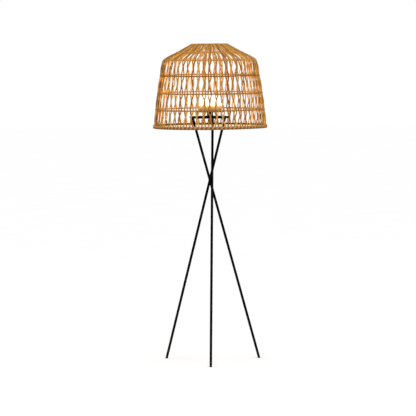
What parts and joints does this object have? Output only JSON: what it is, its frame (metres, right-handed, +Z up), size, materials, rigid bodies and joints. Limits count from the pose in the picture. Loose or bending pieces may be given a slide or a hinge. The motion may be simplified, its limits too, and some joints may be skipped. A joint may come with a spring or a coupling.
{
  "type": "floor lamp",
  "caption": "Floor lamp with an open-woven rattan shade round an opal dome, on thin straight black steel legs that cross at a narrow waist",
  "frame": {"origin": "on the floor at the centre of the tripod and the shade", "axes": "+Z up along the lamp's axis; -Y towards the front foot; X across"},
  "size_m": [0.54, 0.54, 1.5],
  "materials": {
    "black_steel": "satin black powder coat",
    "brown_steel": "satin brown lacquer",
    "black_plastic": "fine moulded texture",
    "zinc_steel": "bright zinc plating",
    "turned_wood": "satin clear lacquer on turned brown wood",
    "opal_glass": "opal white glass, lit from inside",
    "bulb_glass": "clear glass capsule",
    "ceramic": "off-white ceramic",
    "rattan": "split rattan core, satin, light honey brown",
    "dark_rattan": "rattan binding, stained darker brown"
  },
  "bodies": {
    "stand": {"leg_1": "black_steel", "leg_2": "black_steel", "leg_3": "black_steel", "foot_plug_1": "black_plastic", "foot_plug_2": "black_plastic", "foot_plug_3": "black_plastic", "leg_insert_1": "zinc_steel", "leg_insert_2": "zinc_steel", "leg_insert_3": "zinc_steel", "leg_screw_1": "black_steel", "leg_screw_2": "black_steel", "leg_screw_3": "black_steel", "crown_ring": "black_steel", "lower_washer": "zinc_steel", "lower_nut": "zinc_steel", "cord_gland": "black_plastic", "nipple": "zinc_steel", "stem": "black_steel", "seat_plate": "black_steel", "cup": "turned_wood", "upper_nut": "zinc_steel", "lampholder": "ceramic", "bulb": "bulb_glass"},
    "shade": {"cone_weave": "rattan", "wall_weave": "rattan", "top_border": "rattan", "bottom_border": "rattan", "cone_hoop": "dark_rattan", "shoulder_hoop": "dark_rattan", "wall_hoop_1": "dark_rattan", "wall_hoop_2": "dark_rattan", "wall_hoop_3": "dark_rattan", "shade_carrier": "brown_steel"},
    "dome": {"dome": "opal_glass"}
  },
  "joints": [
    {"name": "shade_lift", "type": "slide", "parent": "stand", "child": "shade", "axis": [0, 0, 1], "range_m": [0, 0.084]},
    {"name": "dome_lift", "type": "slide", "parent": "stand", "child": "dome", "axis": [0, 0, 1], "range_m": [0, 0.052]}
  ]
}
